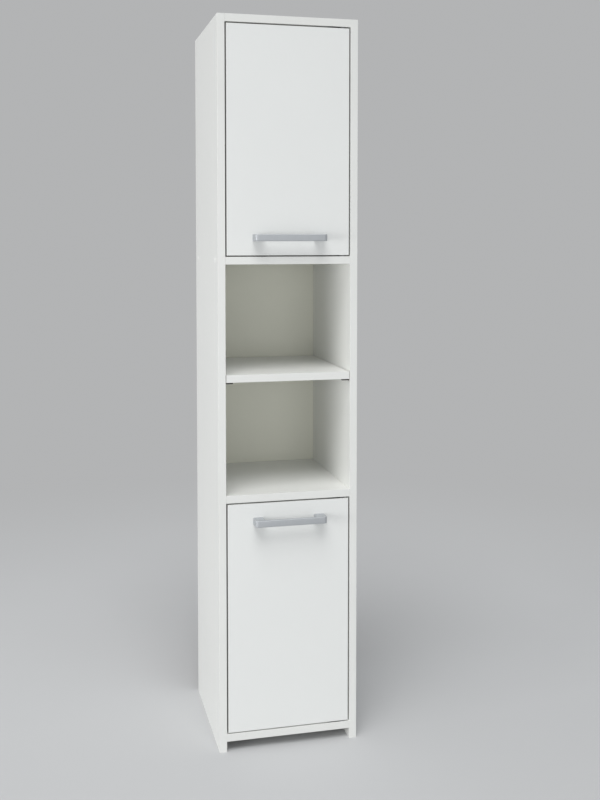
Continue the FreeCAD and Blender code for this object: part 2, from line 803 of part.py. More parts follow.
def make_handle(door):
    """A bow handle: bar and legs in one piece, with a threaded hole in each leg."""
    name = f"{door}_handle"
    body = doc.addObject("PartDesign::Body", name)
    outline = new_sketch(body, f"{name}_outline", "XY_Plane")
    draw_bow(outline)
    pad = body.newObject("PartDesign::Pad", f"{name}_bow")
    pad.Profile = outline
    pad.Midplane = True
    pad.setExpression("Length", "sizes.handle_bar_height")
    doc.recompute()
    reach = SIZES["handle_reach"]
    under_bar = reach - SIZES["handle_bar_thickness"]
    outer = round_edges(body, pad, f"{name}_outer_corners", at_depth(reach),
                        "sizes.handle_outer_round")
    inner = round_edges(body, outer, f"{name}_inner_corners", at_depth(under_bar),
                        "sizes.handle_inner_round")
    soft = round_edges(body, inner, f"{name}_soft_edges", off_the_door,
                       "sizes.handle_edge_round")
    centres = new_sketch(body, f"{name}_screw_centres", "XZ_Plane")
    draw_screw_centres(centres)
    bore = body.newObject("PartDesign::Pocket", f"{name}_screw_holes")
    bore.Profile = centres
    bore.setExpression("Length", "sizes.handle_screw_depth")
    doc.recompute()
    if soft.Shape.Volume - bore.Shape.Volume < 1:
        raise RuntimeError(f"{name}: the screw holes cut nothing")
    keep(name, place(body, ("0", FRONT, handle_level(door)), HALF_TURN))


def make_handle_screws(door):
    """Two machine screws with pan heads, from behind the door into the handle's legs."""
    screws = []
    for number, across in enumerate(handle_screw_spots()):
        name = f"{door}_handle_screw_{number}"
        spot = (across, DOOR_BACK, handle_level(door))
        shank = rod(f"{name}_shank", "sizes.handle_screw_radius",
                    "sizes.door_board + sizes.handle_screw_grip", spot, ALONG_MINUS_Y)
        head = rod(f"{name}_head", "sizes.handle_screw_head_radius",
                   "sizes.handle_screw_head_height", spot, ALONG_Y)
        screws.append(fuse(name, [shank, head]))
    keep(f"{door}_handle_screws", group(f"{door}_handle_screw", screws))


# Magnetic catches ---------------------------------------------------------------------------

CATCH_LEFT = f"({INNER_LEFT} + sizes.catch_side_gap)"
MAGNET_FACE = f"({DOOR_BACK} + sizes.strike_thickness + sizes.magnet_gap)"
CATCH_FRONT = f"({MAGNET_FACE} + sizes.magnet_proud)"
CATCH_MIDDLE = f"({CATCH_LEFT} + sizes.catch_width / 2)"


def make_catch(door):
    """A magnet in a housing under the board above the door, and a strike plate on the door."""
    face = door_ends(door)["top"][1]
    magnet_level = f"({face} - sizes.magnet_drop)"
    body = block(f"{door}_catch_body",
                 ("sizes.catch_width - 2 * sizes.catch_ear", "sizes.catch_depth",
                  "sizes.catch_height"),
                 (f"{CATCH_LEFT} + sizes.catch_ear", CATCH_FRONT,
                  f"{face} - sizes.catch_height"))
    ears = block(f"{door}_catch_ears",
                 ("sizes.catch_width", "sizes.catch_depth", "sizes.catch_ear_thickness"),
                 (CATCH_LEFT, CATCH_FRONT, f"{face} - sizes.catch_ear_thickness"))
    magnet_size = ("sizes.magnet_width", "sizes.magnet_depth", "sizes.magnet_height")
    magnet_spot = (f"{CATCH_MIDDLE} - sizes.magnet_width / 2", MAGNET_FACE,
                   f"{magnet_level} - sizes.magnet_height / 2")
    tools = [block(f"{door}_catch_pocket", magnet_size, magnet_spot)]
    ear_face = f"({face} - sizes.catch_ear_thickness)"
    screws = []
    for number, across in enumerate((f"{CATCH_LEFT} + sizes.catch_ear / 2",
                                     f"{CATCH_LEFT} + sizes.catch_width - sizes.catch_ear / 2")):
        spot = (across, f"{CATCH_FRONT} + sizes.catch_depth / 2", ear_face)
        screws.append(countersunk_screw(f"{door}_catch_screw_{number}", spot, UP))
        tools += countersink(f"{door}_catch_sink_{number}", "sizes.catch_ear_thickness", spot, UP)
    keep(f"{door}_catch_housing",
         cut(f"{door}_catch_housing", fuse(f"{door}_catch_shell", [body, ears]), tools))
    keep(f"{door}_catch_magnet", block(f"{door}_magnet", magnet_size, magnet_spot))
    keep(f"{door}_catch_screws", group(f"{door}_catch_screw_pair", screws))
    blank = block(f"{door}_strike_blank",
                  ("sizes.strike_width", "sizes.strike_thickness", "sizes.strike_height"),
                  (f"{CATCH_MIDDLE} - sizes.strike_width / 2", DOOR_BACK,
                   f"{magnet_level} - sizes.strike_height / 2"))
    head_spot = (CATCH_MIDDLE, f"{DOOR_BACK} + sizes.strike_thickness", magnet_level)
    sink = countersink(f"{door}_strike_sink", "sizes.strike_thickness", head_spot, ALONG_MINUS_Y)
    keep(f"{door}_strike_plate", cut(f"{door}_strike_plate", blank, sink))
    keep(f"{door}_strike_screw",
         countersunk_screw(f"{door}_strike_screw", head_spot, ALONG_MINUS_Y,
                           "sizes.strike_screw_length"))


# Wall bracket -------------------------------------------------------------------------------

BRACKET_HOLE_LEVEL = f"({TOP_LEVEL} - sizes.bracket_hole_drop)"


def make_wall_bracket():
    """An angle under the top panel, against the back panel, with a hole for a wall screw."""
    left = "(-sizes.bracket_width / 2)"
    flat = block("bracket_flat", ("sizes.bracket_width", "sizes.bracket_leg",
                 "sizes.bracket_thickness"),
                 (left, f"{REAR} - sizes.bracket_leg", f"{TOP_LEVEL} - sizes.bracket_thickness"))
    drop = block("bracket_drop", ("sizes.bracket_width", "sizes.bracket_thickness",
                 "sizes.bracket_leg"),
                 (left, f"{REAR} - sizes.bracket_thickness", f"{TOP_LEVEL} - sizes.bracket_leg"))
    tools = [rod("bracket_hole", "sizes.bracket_hole_radius", "sizes.bracket_thickness",
                 ("0", REAR, BRACKET_HOLE_LEVEL), ALONG_MINUS_Y)]
    screws = []
    face = f"({TOP_LEVEL} - sizes.bracket_thickness)"
    for number, sign in enumerate(("-", "")):
        spot = (f"{sign}(sizes.bracket_screw_spacing / 2)",
                f"{REAR} - sizes.bracket_leg / 2", face)
        screws.append(countersunk_screw(f"bracket_screw_{number}", spot, UP))
        tools += countersink(f"bracket_sink_{number}", "sizes.bracket_thickness", spot, UP)
    keep("wall_bracket", cut("wall_bracket", fuse("bracket_angle", [flat, drop]), tools))
    keep("wall_bracket_screws", group("bracket_screw", screws))


# The whole cabinet ----------------------------------------------------------------------------

make_side_panels()
make_fixed_boards()
make_shelf("middle_shelf", "sizes.middle_shelf_setback")
make_shelf("upper_shelf", "sizes.loose_shelf_setback")
make_shelf("lower_shelf", "sizes.loose_shelf_setback")
for shelf in SHELF_LEVELS:
    make_shelf_pins(shelf)
make_back_panel()
make_back_nails()
make_joint_fittings()
for door in DOOR_BOARDS:
    make_door(door)
    make_handle(door)
    make_handle_screws(door)
    make_pivots(door)
    make_catch(door)
make_wall_bracket()

# Check and write ----------------------------------------------------------------------------

doc.recompute()
for thing in doc.Objects:
    if "Invalid" in thing.State or "Error" in thing.State:
        raise RuntimeError(f"{thing.Name} failed: {thing.State}")
for node in nodes:
    if node.Shape.isNull() or not node.Shape.isValid() or node.Shape.Volume <= 0:
        raise RuntimeError(f"{node.Label} has no valid shape")
os.makedirs("parts", exist_ok=True)
for node in nodes:
    node.Shape.exportStep(f"parts/{node.Label}.step")
print(f"{len(nodes)} sub-parts written")
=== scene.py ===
"""Finishes and studio for a tall narrow bathroom cabinet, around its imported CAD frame.

Metres, in the CAD frame: X across the width, Y from the front to the back, Z up from the floor.
"""
import json
import math

import bmesh
import bpy
import numpy as np
from bpy.props import FloatProperty, FloatVectorProperty, PointerProperty
from mathutils import Matrix, Vector


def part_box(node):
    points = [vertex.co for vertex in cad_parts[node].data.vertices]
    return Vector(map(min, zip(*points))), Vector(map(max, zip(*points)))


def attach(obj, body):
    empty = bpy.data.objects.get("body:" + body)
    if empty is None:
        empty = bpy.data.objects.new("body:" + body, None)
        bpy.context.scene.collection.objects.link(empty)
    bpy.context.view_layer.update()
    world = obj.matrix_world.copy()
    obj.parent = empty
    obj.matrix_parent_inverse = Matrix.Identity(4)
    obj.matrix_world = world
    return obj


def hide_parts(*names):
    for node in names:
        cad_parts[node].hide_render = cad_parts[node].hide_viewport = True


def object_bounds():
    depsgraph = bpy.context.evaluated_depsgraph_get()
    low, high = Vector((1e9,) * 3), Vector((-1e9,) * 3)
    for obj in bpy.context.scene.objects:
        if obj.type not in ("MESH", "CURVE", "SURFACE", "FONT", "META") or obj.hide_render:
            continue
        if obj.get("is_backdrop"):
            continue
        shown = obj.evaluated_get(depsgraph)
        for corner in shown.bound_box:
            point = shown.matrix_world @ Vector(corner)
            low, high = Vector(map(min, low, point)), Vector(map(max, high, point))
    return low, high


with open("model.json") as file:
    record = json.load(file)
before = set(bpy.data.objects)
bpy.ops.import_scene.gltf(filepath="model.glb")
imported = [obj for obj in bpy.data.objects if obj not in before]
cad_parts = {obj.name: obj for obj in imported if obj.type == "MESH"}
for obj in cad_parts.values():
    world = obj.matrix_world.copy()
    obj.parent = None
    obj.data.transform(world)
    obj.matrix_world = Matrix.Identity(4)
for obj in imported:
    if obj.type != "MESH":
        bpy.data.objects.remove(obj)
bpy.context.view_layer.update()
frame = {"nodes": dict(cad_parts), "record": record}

bl_info = {
    "name": "Tall bathroom cabinet finishes",
    "version": (1, 0, 0),
    "blender": (4, 5, 0),
    "location": "3D View > Sidebar > Cabinet",
    "description": "Board, handle and fitting finishes, and the studio, for a tall cabinet",
    "category": "Object",
}

X, Y, Z = 0, 1, 2
LOW, HIGH = 0, 1

BOARDS = (
    "left_side_panel", "right_side_panel", "top_panel", "upper_divider", "middle_shelf",
    "lower_divider", "bottom_panel", "upper_shelf", "lower_shelf",
)
DOORS = ("upper_door", "lower_door")
HANDLES = ("upper_handle", "lower_handle")
STEEL_FITTINGS = (
    "back_nails", "cam_bolts", "divider_screws", "wall_bracket_screws",
    "upper_handle_screws", "lower_handle_screws",
    "upper_pivot_carcass_screws", "lower_pivot_carcass_screws",
    "upper_pivot_door_screws", "lower_pivot_door_screws",
    "upper_pivot_pins", "lower_pivot_pins",
    "upper_catch_screws", "lower_catch_screws", "upper_strike_screw", "lower_strike_screw",
)
FLAT_FITTINGS = (
    "upper_pivot_carcass_plates", "lower_pivot_carcass_plates",
    "upper_pivot_door_plates", "lower_pivot_door_plates",
    "upper_strike_plate", "lower_strike_plate", "wall_bracket",
)
SHELF_PINS = ("middle_shelf_pins", "upper_shelf_pins", "lower_shelf_pins")

# Fixed values; lengths are in metres -------------------------------------------------------

# The decor foil's and the lacquer's depth below a face, and the wire screen's pitch.
FOIL_DEPTH = 0.00025
LACQUER_DEPTH = 0.0003
SCREEN_PITCH = 0.003

# Ranges of a noise's value that ramps stretch, and the Mix node's sockets for two colours.
NOISE_MIDDLE = (0.3, 0.7)
NOISE_UPPER = (0.35, 0.7)
NOISE_PEAKS = (0.4, 0.7)
MIX_FIRST, MIX_SECOND, MIX_RESULT = 6, 7, 2

# The bow handle's measures as in the CAD, the points along its rounds, and how many edge
# rounds in from the rim the flat faces' own ring lies.
BAR_THICKNESS, LEG_WIDTH = 0.008, 0.022
OUTER_BEND, INNER_BEND = 0.007, 0.005
OUTER_BEND_POINTS, INNER_BEND_POINTS, EDGE_POINTS = 13, 9, 7
FACE_RING_INSET = 1.35

# The cover cap's rings as shares of its radius, and the round between its rim and dome.
CAP_SPOKES = 48
CAP_RING_SHARES = (1.0, 1.0, 0.985, 0.94, 0.86, 0.72, 0.54, 0.34, 0.12)
CAP_RIM_ROUND = 0.00015

# Faces that meet at less than the smooth angle are shaded as one.
MERGE_DISTANCE = 2e-6
FLAT_ANGLE = math.radians(1.0)
NEW_PIECE_SMOOTH_ANGLE = math.radians(40.0)
FITTING_SMOOTH_ANGLE = math.radians(35.0)
FITTING_ROUND_ANGLE = math.radians(50.0)

# The floor fades out between two distances from the origin, the key lamp shines from a
# point towards the origin, and the sensor's width is in millimetres.
FLOOR_SPOKES = 96
FLOOR_RING_RADII = (0.02, 1.0, 3.0, 7.0, 14.0)
FADE_START, FADE_END = 0.9, 2.5
KEY_FROM = (-0.8, -2.2, 4.1)
FRONT_LAMP_PLACE, FRONT_LAMP_SIZE = (-0.4, -3.4, 0.85), (2.8, 1.1)
SIDE_LAMP_PLACE, SIDE_LAMP_SIZE = (-3.3, -1.5, 0.9), (1.8, 1.0)
SENSOR_WIDTH = 36.0


# Sizes and colours that a user would change ------------------------------------------------


def colour_property(name, description, value):
    """A linear colour without alpha."""
    return FloatVectorProperty(name=name, description=description, subtype="COLOR", size=3,
                               min=0.0, max=1.0, default=value)


def length_property(name, description, value):
    """A length in metres."""
    return FloatProperty(name=name, description=description, default=value, min=0.0,
                         unit="LENGTH")


class BoardFinish(bpy.types.PropertyGroup):
    """Colours of the boards, with the doors' melamine darkened as painted shade, and of the back
    sheet, and sizes of the edge strips.
    """

    melamine: colour_property("Board face", "White melamine on the boards", (0.825, 0.83, 0.805))
    # The doors' melamine is the boards' white melamine set darker, as painted shade on the doors.
    # The edge strips are set darker with it, partly their own white and partly painted shade.
    shaded_door_face: colour_property("Door face", "White melamine on the doors", (0.765, 0.776, 0.763))
    edge_strip: colour_property("Edge strip", "White strip glued to the seen edges",
                                (0.75, 0.757, 0.735))
    chipboard: colour_property("Chipboard", "Bare core where no strip covers it",
                               (0.46, 0.33, 0.20))
    sheet_front: colour_property("Back sheet, front", "Lacquer on the back sheet's front",
                                 (0.85, 0.85, 0.75))
    sheet_rear: colour_property("Back sheet, rear", "Bare fibre on the back sheet's rear",
                                (0.26, 0.165, 0.09))
    strip_thickness: length_property("Strip thickness", "Thickness of the edge strips", 0.0006)
    glue_line: length_property("Glue line", "Width of the line beside an edge strip", 0.00012)


class FittingFinish(bpy.types.PropertyGroup):
    """Colours and edge sizes of the handles, caps and metal fittings."""

    handle: colour_property("Handle", "Satin silver of the bow handles", (0.47, 0.49, 0.51))
    plastic: colour_property("White plastic", "Caps and catch housings", (0.88, 0.88, 0.86))
    nylon: colour_property("Nylon", "Washers between door and board", (0.18, 0.18, 0.19))
    magnet: colour_property("Magnet", "Ferrite in the catches", (0.035, 0.034, 0.036))
    burnished: colour_property("Burnished steel", "Shelf pins", (0.045, 0.042, 0.040))
    plated: colour_property("Plated steel", "Zinc-plated screws, pins and plates",
                            (0.62, 0.63, 0.62))
    cast: colour_property("Cast zinc", "Cam discs", (0.40, 0.40, 0.39))
    beech: colour_property("Beech", "Dowels", (0.58, 0.40, 0.22))
    handle_edge: length_property("Handle edge", "Rounding along the handle's edges", 0.0015)
    cap_rise: length_property("Cap rise", "Height of a cover cap's dome above its rim", 0.0006)
    fitting_edge: length_property("Fitting edge", "Rounding on plates and housings", 0.0003)


class StudioSetup(bpy.types.PropertyGroup):
    """Floor, backdrop, lamps and camera."""

    floor: colour_property("Floor", "Pale floor", (0.54, 0.545, 0.55))
    backdrop: colour_property("Backdrop", "What the camera sees behind the floor",
                              (0.45, 0.455, 0.46))
    sky: colour_property("Sky", "Tint of the soft light from all round", (0.95, 0.975, 1.0))
    sky_strength: FloatProperty(name="Sky strength", description="Level of the soft light",
                                default=0.41, min=0.0)
    key_strength: FloatProperty(name="Key lamp", description="Level of the high far lamp",
                                default=1.8, min=0.0)
    key_spread: FloatProperty(name="Key spread", description="Width of the high far lamp",
                              subtype="ANGLE", unit="ROTATION", default=math.radians(36.0))
    front_power: FloatProperty(name="Front lamp", description="Watts of the broad front lamp",
                               default=13.0, min=0.0, unit="POWER")
    side_power: FloatProperty(name="Side lamp", description="Watts of the lamp on the left",
                              default=48.0, min=0.0, unit="POWER")
    focal_length: FloatProperty(name="Focal length", description="Of the camera, in millimetres",
                                default=47.047, min=1.0, subtype="DISTANCE_CAMERA")
    camera_place: FloatVectorProperty(name="Camera place", description="Where the camera stands",
                                      size=3, subtype="TRANSLATION", unit="LENGTH",
                                      default=(-0.4936, -2.2767, 1.0873))
    camera_turn: FloatProperty(name="Camera turn", description="To the right of straight ahead",
                               subtype="ANGLE", unit="ROTATION", default=math.radians(13.657))
    camera_dip: FloatProperty(name="Camera dip", description="Below the horizon",
                              subtype="ANGLE", unit="ROTATION", default=math.radians(3.009))
    camera_shift: FloatProperty(name="Camera shift", description="Upright shift of the lens",
                                default=-0.135)


# Materials ----------------------------------------------------------------------------------


class Finish:
    """One material's nodes: adds them, joins them and hands back their outputs."""

    def __init__(self, name):
        """Makes the material and finds its shader and the piece's own coordinates."""
        self.material = bpy.data.materials.new(name)
        self.material.use_nodes = True
        self.nodes = self.material.node_tree.nodes
        self.links = self.material.node_tree.links
        self.shader = self.nodes["Principled BSDF"]
        self.place = self.add("ShaderNodeTexCoord").outputs["Object"]

    def add(self, kind, **settings):
        """A node with some of its own settings changed."""
        node = self.nodes.new(kind)
        for key, value in settings.items():
            setattr(node, key, value)
        return node

    def feed(self, socket, value):
        """Joins a socket to an output, or gives it a number or colour."""
        if isinstance(value, bpy.types.NodeSocket):
            self.links.new(value, socket)
        elif hasattr(value, "__len__") and len(socket.default_value) == 4:
            socket.default_value = (*value[:3], 1.0)
        else:
            socket.default_value = value

    def math(self, operation, *values):
        """One arithmetic step on outputs and numbers."""
        node = self.add("ShaderNodeMath", operation=operation)
        for socket, value in zip(node.inputs, values):
            self.feed(socket, value)
        return node.outputs[0]

    def ramp(self, value, low, high, low_value=0.0, high_value=1.0):
        """A value stretched from one range to another, and held at its ends."""
        node = self.add("ShaderNodeMapRange", interpolation_type="SMOOTHSTEP")
        for name, number in (("Value", value), ("From Min", low), ("From Max", high),
                             ("To Min", low_value), ("To Max", high_value)):
            self.feed(node.inputs[name], number)
        return node.outputs["Result"]

    def blend(self, amount, first, second, mode="MIX"):
        """Two colours mixed by an amount, or multiplied."""
        node = self.add("ShaderNodeMix", data_type="RGBA", blend_type=mode)
        for socket, value in (("Factor", amount), (MIX_FIRST, first), (MIX_SECOND, second)):
            self.feed(node.inputs[socket], value)
        return node.outputs[MIX_RESULT]

    def axes(self):
        """The three coordinates of a point on the piece."""
        return self.links_from(self.add("ShaderNodeSeparateXYZ"), self.place).outputs

    def links_from(self, node, value):
        """Feeds a node's first input and hands the node back."""
        self.feed(node.inputs[0], value)
        return node

    def noise(self, scale, detail=2.0, stretch=None):
        """Soft noise at a scale per metre; a stretch multiplies it along each axis."""
        place = self.place
        if stretch is not None:
            mapping = self.links_from(self.add("ShaderNodeMapping"), self.place)
            mapping.inputs["Scale"].default_value = stretch
            place = mapping.outputs[0]
        node = self.add("ShaderNodeTexNoise")
        self.feed(node.inputs["Vector"], place)
        self.feed(node.inputs["Scale"], scale)
        self.feed(node.inputs["Detail"], detail)
        return node.outputs[0]

    def chips(self, scale):
        """Flat flakes of random tone."""
        node = self.add("ShaderNodeTexVoronoi", feature="F1")
        self.feed(node.inputs["Vector"], self.place)
        self.feed(node.inputs["Scale"], scale)
        return self.links_from(self.add("ShaderNodeSeparateColor"), node.outputs["Color"])

    def relief(self, height, distance):
        """Turns a height into the shader's normal."""
        node = self.add("ShaderNodeBump")
        self.feed(node.inputs["Height"], height)
        self.feed(node.inputs["Distance"], distance)
        self.feed(node.inputs["Strength"], 1.0)
        self.feed(self.shader.inputs["Normal"], node.outputs[0])

    def finish(self, colour, roughness, metallic=0.0, specular=0.5):
        """Feeds the shader; what is the same all over is set on its own socket."""
        self.feed(self.shader.inputs["Base Color"], colour)
        self.feed(self.shader.inputs["Roughness"], roughness)
        self.feed(self.shader.inputs["Metallic"], metallic)
        self.feed(self.shader.inputs["Specular IOR Level"], specular)
        return self.material


def toned(finish, colour, scale, depth):
    """A colour that drifts a little lighter and darker over the surface."""
    drift = finish.ramp(finish.noise(scale, detail=3.0), *NOISE_MIDDLE, 1.0 - depth, 1.0)
    return finish.blend(1.0, colour, grey(finish, drift), "MULTIPLY")


def shade(colour, factor):
    """A colour made darker or lighter by one factor."""
    return tuple(factor * part for part in colour)


def grey(finish, value):
    """A number as a grey colour."""
    node = finish.add("ShaderNodeCombineColor")
    for socket in node.inputs[:3]:
        finish.feed(socket, value)
    return node.outputs[0]


def board_finish(name, face, look, thickness_axis, corners, strips):
    """White board: melamine faces, strips on the seen edges, chipboard where it is bare.

    A point is bare when it is deeper than the foil inside both faces, and further from each
    stripped edge than the strip is thick. The glue line lies just past the strip.
    """
    skin_height, flake_height, strip_gloss, core_roughness = 0.35, 6.0, 0.06, 0.9
    dark_flake, glue_shade, fibre_colour = 0.55, 0.72, (0.62, 0.50, 0.35)
    finish = Finish(name)
    axes = finish.axes()
    depth = finish.math(
        "MINIMUM",
        finish.math("SUBTRACT", axes[thickness_axis], corners[LOW][thickness_axis]),
        finish.math("SUBTRACT", corners[HIGH][thickness_axis], axes[thickness_axis]),
    )
    edge = None
    for axis, end in strips:
        place = corners[end][axis]
        distance = (finish.math("SUBTRACT", axes[axis], place) if end == LOW
                    else finish.math("SUBTRACT", place, axes[axis]))
        edge = distance if edge is None else finish.math("MINIMUM", edge, distance)
    strip = look.strip_thickness
    in_strip = finish.math("LESS_THAN", edge, strip)
    inside = finish.math("GREATER_THAN", depth, FOIL_DEPTH)
    bare = finish.math("MULTIPLY", inside, finish.math("SUBTRACT", 1.0, in_strip))
    past_strip = finish.math("SUBTRACT", edge, strip)
    glue = finish.math("MULTIPLY", finish.math("GREATER_THAN", past_strip, 0.0),
                       finish.math("LESS_THAN", past_strip, look.glue_line))
    faces = toned(finish, face, scale=2.3, depth=0.018)
    faces = finish.blend(in_strip, faces, toned(finish, look.edge_strip, scale=9.0, depth=0.02))
    faces = finish.blend(glue, faces, shade(look.edge_strip, glue_shade))
    flakes = finish.chips(scale=420.0).outputs[0]
    fibres = finish.noise(scale=900.0, detail=4.0)
    core = finish.blend(flakes, shade(look.chipboard, dark_flake), look.chipboard)
    core = finish.blend(finish.ramp(fibres, low=0.35, high=0.75), core, fibre_colour)
    colour = finish.blend(bare, faces, core)
    skin = finish.noise(scale=1400.0, detail=2.0)
    waves = finish.noise(scale=130.0, detail=2.0)
    smooth = finish.ramp(waves, *NOISE_MIDDLE, low_value=0.36, high_value=0.44)
    smooth = finish.math("SUBTRACT", smooth, finish.math("MULTIPLY", in_strip, strip_gloss))
    rough = finish.math("MAXIMUM", smooth, finish.math("MULTIPLY", bare, core_roughness))
    height = finish.math("ADD", finish.math("MULTIPLY", skin, skin_height), waves)
    raised = finish.math("MULTIPLY", bare, finish.math("MULTIPLY", flakes, flake_height))
    height = finish.math("ADD", height, raised)
    finish.relief(height, distance=0.00004)
    return finish.finish(colour, rough, specular=0.45)


def back_sheet_finish(look, corners):
    """Thin fibre sheet: warm white lacquer in front, bare brown fibre behind and on its rims.

    The rear carries the faint print of a wire screen: the product of two sines, across and up,
    whose wavelength is the screen's pitch.
    """
    cloud_shade, strand_shade, fleck_shade = 1.16, 1.7, 0.5
    skin_height, strand_height = 0.6, 3.0
    finish = Finish("back_sheet_lacquer_and_fibre")
    axes = finish.axes()
    bare = finish.math("GREATER_THAN", axes[Y], corners[LOW][Y] + LACQUER_DEPTH)
    white = toned(finish, look.sheet_front, scale=3.0, depth=0.03)
    clouds = finish.ramp(finish.noise(scale=11.0, detail=3.0), *NOISE_MIDDLE)
    strands = finish.noise(scale=1.0, detail=6.0, stretch=(900.0, 900.0, 330.0))
    flecks = finish.noise(scale=700.0, detail=3.0)
    brown = finish.blend(clouds, look.sheet_rear, shade(look.sheet_rear, cloud_shade))
    brown = finish.blend(finish.ramp(strands, low=0.42, high=0.75, high_value=0.8), brown,
                         shade(look.sheet_rear, strand_shade))
    brown = finish.blend(finish.ramp(flecks, low=0.58, high=0.72, high_value=0.7), brown,
                         shade(look.sheet_rear, fleck_shade))
    colour = finish.blend(bare, white, brown)
    rough = finish.ramp(bare, 0.0, 1.0, low_value=0.46, high_value=0.82)
    screen = finish.math("MULTIPLY", *(
        finish.math("SINE", finish.math("MULTIPLY", axes[axis], 2 * math.pi / SCREEN_PITCH))
        for axis in (X, Z)
    ))
    rear_height = finish.math("ADD", finish.math("MULTIPLY", strands, strand_height), screen)
    height = finish.math("ADD", finish.math("MULTIPLY", flecks, skin_height),
                         finish.math("MULTIPLY", bare, rear_height))
    finish.relief(height, distance=0.00006)
    return finish.finish(colour, rough, specular=0.4)


def satin_silver(look):
    """Silver lacquer over metal: fine grain, no drawn lines."""
    grain_roughness = 0.06
    finish = Finish("handle_satin_silver")
    grain = finish.noise(scale=2600.0, detail=2.0)
    cloud = finish.noise(scale=26.0, detail=2.0)
    colour = toned(finish, look.handle, scale=60.0, depth=0.03)
    rough = finish.math("ADD", finish.ramp(cloud, *NOISE_MIDDLE, low_value=0.44, high_value=0.50),
                        finish.math("MULTIPLY", grain, grain_roughness))
    finish.relief(grain, distance=0.000012)
    return finish.finish(colour, rough, metallic=0.5, specular=0.45)


def moulded(name, colour, roughness, grain):
    """Moulded plastic with a faint spark-eroded grain."""
    glossier, duller = 0.04, 0.05
    finish = Finish(name)
    skin = finish.noise(scale=grain, detail=3.0)
    rough = finish.ramp(skin, *NOISE_MIDDLE, roughness - glossier, roughness + duller)
    finish.relief(skin, distance=0.00002)
    return finish.finish(toned(finish, colour, scale=40.0, depth=0.03), rough)


def plated_steel(look):
    """Zinc plate: bright, with cloudy patches of duller and bluer metal."""
    dull_patch = (0.80, 0.83, 0.88)
    finish = Finish("zinc_plated_steel")
    cloud = finish.noise(scale=170.0, detail=4.0)
    colour = finish.blend(finish.ramp(cloud, *NOISE_UPPER), look.plated,
                          tuple(part * tint for part, tint in zip(look.plated, dull_patch)))
    rough = finish.ramp(finish.noise(scale=420.0, detail=3.0), *NOISE_MIDDLE,
                        low_value=0.28, high_value=0.42)
    finish.relief(finish.noise(scale=3000.0, detail=2.0), distance=0.000008)
    return finish.finish(colour, rough, metallic=1.0)


def burnished_steel(look):
    """Dark oiled steel with a little brown in it."""
    brown_patch = (0.085, 0.070, 0.058)
    finish = Finish("burnished_steel")
    cloud = finish.noise(scale=500.0, detail=4.0)
    colour = finish.blend(finish.ramp(cloud, *NOISE_PEAKS), look.burnished, brown_patch)
    rough = finish.ramp(cloud, *NOISE_MIDDLE, low_value=0.38, high_value=0.5)
    finish.relief(cloud, distance=0.00002)
    return finish.finish(colour, rough, metallic=0.8)


def cast_zinc(look):
    """Cast zinc: grey, dull and a little pitted."""
    pit_shade = 0.72
    finish = Finish("cast_zinc_cams")
    pits = finish.noise(scale=1100.0, detail=4.0)
    colour = finish.blend(finish.ramp(pits, *NOISE_MIDDLE), look.cast,
                          shade(look.cast, pit_shade))
    rough = finish.ramp(pits, *NOISE_MIDDLE, low_value=0.5, high_value=0.62)
    finish.relief(pits, distance=0.00005)
    return finish.finish(colour, rough, metallic=1.0)


def beech_dowels(look):
    """Beech with its grain along the dowel and short dark pores."""
    late_wood, pore = 0.78, 0.45
    finish = Finish("beech_dowels")
    grain = finish.noise(scale=1.0, detail=4.0, stretch=(60.0, 900.0, 900.0))
    pores = finish.noise(scale=1.0, detail=2.0, stretch=(300.0, 2600.0, 2600.0))
    colour = finish.blend(finish.ramp(grain, *NOISE_MIDDLE), look.beech,
                          shade(look.beech, late_wood))
    colour = finish.blend(finish.ramp(pores, low=0.62, high=0.72), colour,
                          shade(look.beech, pore))
    finish.relief(grain, distance=0.00008)
    return finish.finish(colour, roughness=0.62)


def cast_ferrite(look):
    """Sintered magnet: near black and dusty."""
    dust_shade = 2.2
    finish = Finish("ferrite_magnets")
    dust = finish.noise(scale=1600.0, detail=3.0)
    colour = finish.blend(finish.ramp(dust, *NOISE_PEAKS), look.magnet,
                          shade(look.magnet, dust_shade))
    finish.relief(dust, distance=0.00003)
    return finish.finish(colour, finish.ramp(dust, *NOISE_MIDDLE, low_value=0.55, high_value=0.7))


def dress(piece, material):
    """Gives a piece or CAD node one material all over."""
    slots = piece.material_slots
    if not slots:
        piece.data.materials.append(material)
    for number in range(len(slots)):
        slots[number].link = "DATA"
        slots[number].material = material
    return piece


# Shapes -------------------------------------------------------------------------------------


def joined_rings(rings):
    """Point numbers of an array of closed rings, and the quads between neighbouring rings."""
    rows, columns = rings.shape[:2]
    index = np.arange(rows * columns).reshape(rows, columns)
    after = np.roll(index, -1, axis=1)
    quads = np.stack([index[:-1], after[:-1], after[1:], index[1:]], axis=-1).reshape(-1, 4)
    return index, quads


def ringed_mesh(name, rings):
    """A closed solid from an array of rings, rows by columns by three.

    Each row is one closed ring; neighbouring rows are joined by quads, and the first and last
    ring are filled. Normals are worked out again so that every face points outwards.
    """
    index, quads = joined_rings(rings)
    faces = quads.tolist() + [index[0][::-1].tolist(), index[-1].tolist()]
    mesh = bpy.data.meshes.new(name)
    mesh.from_pydata(rings.reshape(-1, 3).tolist(), [], faces)
    tidy_mesh(mesh)
    return put_in_scene(name, mesh)


def tidy_mesh(mesh):
    """Turns all faces outwards and smooths what meets at a low angle."""
    work = bmesh.new()
    work.from_mesh(mesh)
    bmesh.ops.recalc_face_normals(work, faces=work.faces)
    work.to_mesh(mesh)
    work.free()
    mesh.shade_smooth()
    mesh.set_sharp_from_angle(angle=NEW_PIECE_SMOOTH_ANGLE)
    mesh.validate()


def put_in_scene(name, mesh):
    """An object at the origin that holds a finished mesh."""
    piece = bpy.data.objects.new(name, mesh)
    bpy.context.scene.collection.objects.link(piece)
    return piece


def stands_for(piece, node):
    """The piece takes a CAD node's place: its body and its visibility."""
    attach(piece, body_of_node(node))
    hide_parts(node)
    return piece


def body_of_node(node):
    """The CAD body that a node rides on."""
    bodies = frame["record"]["behaviour"]["bodies"]
    return next(body for body, nodes in bodies.items() if node in nodes)


